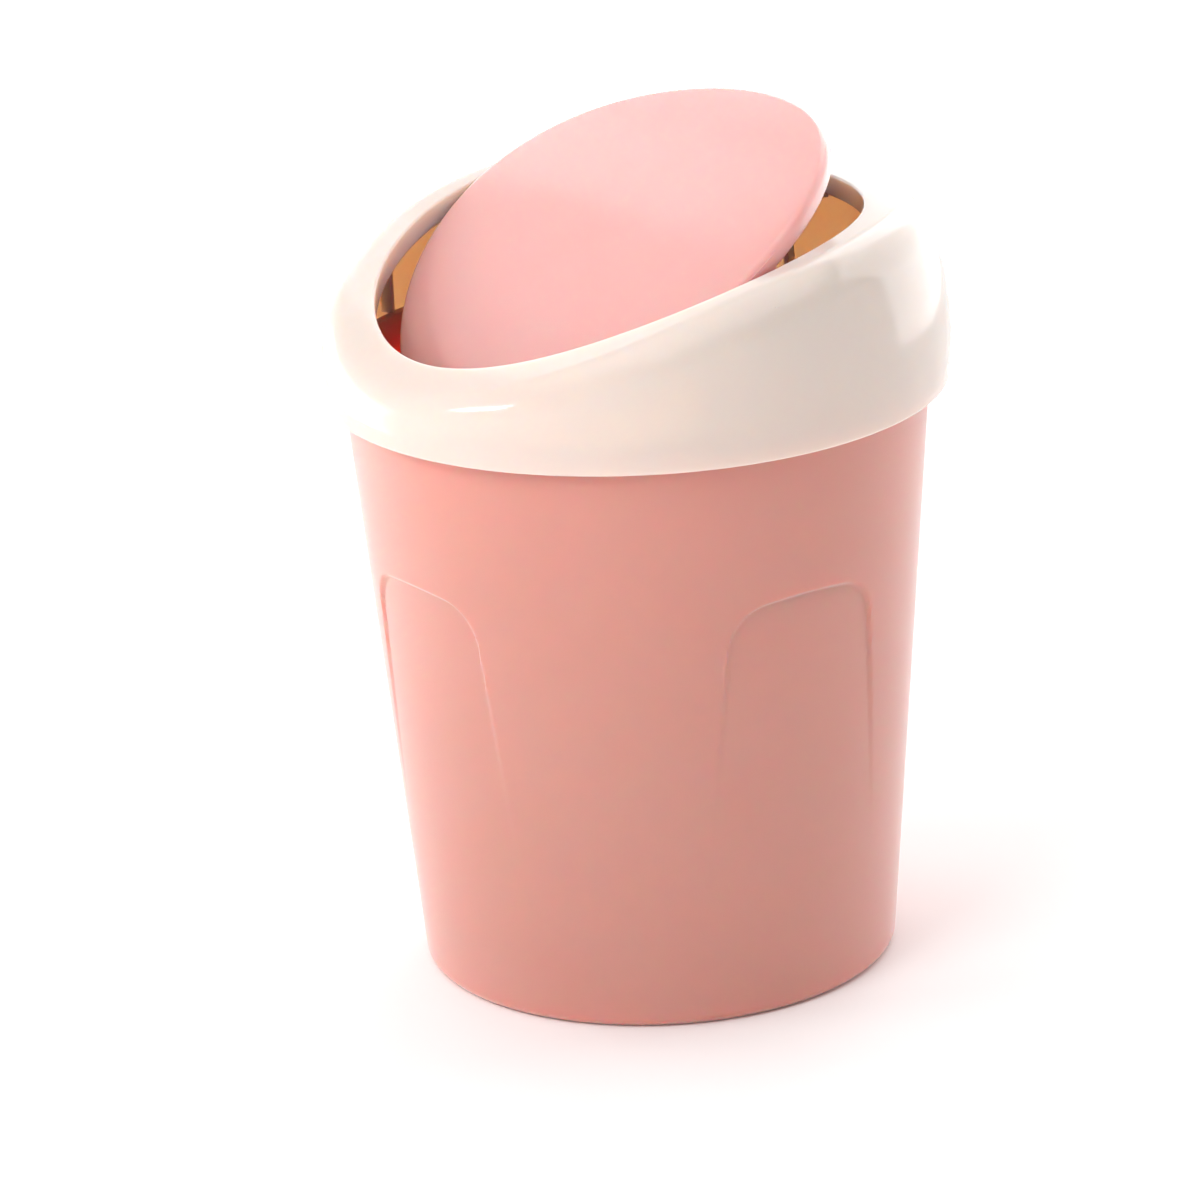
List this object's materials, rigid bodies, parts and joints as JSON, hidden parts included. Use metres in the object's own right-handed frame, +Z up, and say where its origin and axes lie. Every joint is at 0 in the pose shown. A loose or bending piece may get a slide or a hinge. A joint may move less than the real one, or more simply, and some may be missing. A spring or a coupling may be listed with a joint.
{
  "type": "countertop waste bin with swing flap lid",
  "caption": "Small tapered countertop waste bin with a lift-off arched lid collar and a round flap that swings on pivot pins in its mouth.",
  "frame": {"origin": "centre of the base, on the surface that the bin stands on", "axes": "+Z up; -Y is the low front of the arched lid; the flap's pivot runs along X"},
  "size_m": [0.1374, 0.1371, 0.1874],
  "materials": {
    "pail_plastic": "satin moulded polypropylene, salmon pink",
    "collar_plastic": "gloss moulded polypropylene, cream white",
    "flap_plastic": "satin moulded polypropylene, light pink"
  },
  "bodies": {
    "pail": {"pail": "pail_plastic"},
    "collar": {"lid_collar": "collar_plastic"},
    "flap": {"swing_flap": "flap_plastic"}
  },
  "joints": [
    {"name": "collar_lift", "type": "slide", "parent": "pail", "child": "collar", "axis": [0, 0, 1], "range_m": [0, 0.09]},
    {"name": "flap_swing", "type": "hinge", "parent": "collar", "child": "flap", "pos_m": [0, -0.0036, 0.1562], "axis": [1, 0, 0], "range_deg": [-22, 50]}
  ]
}
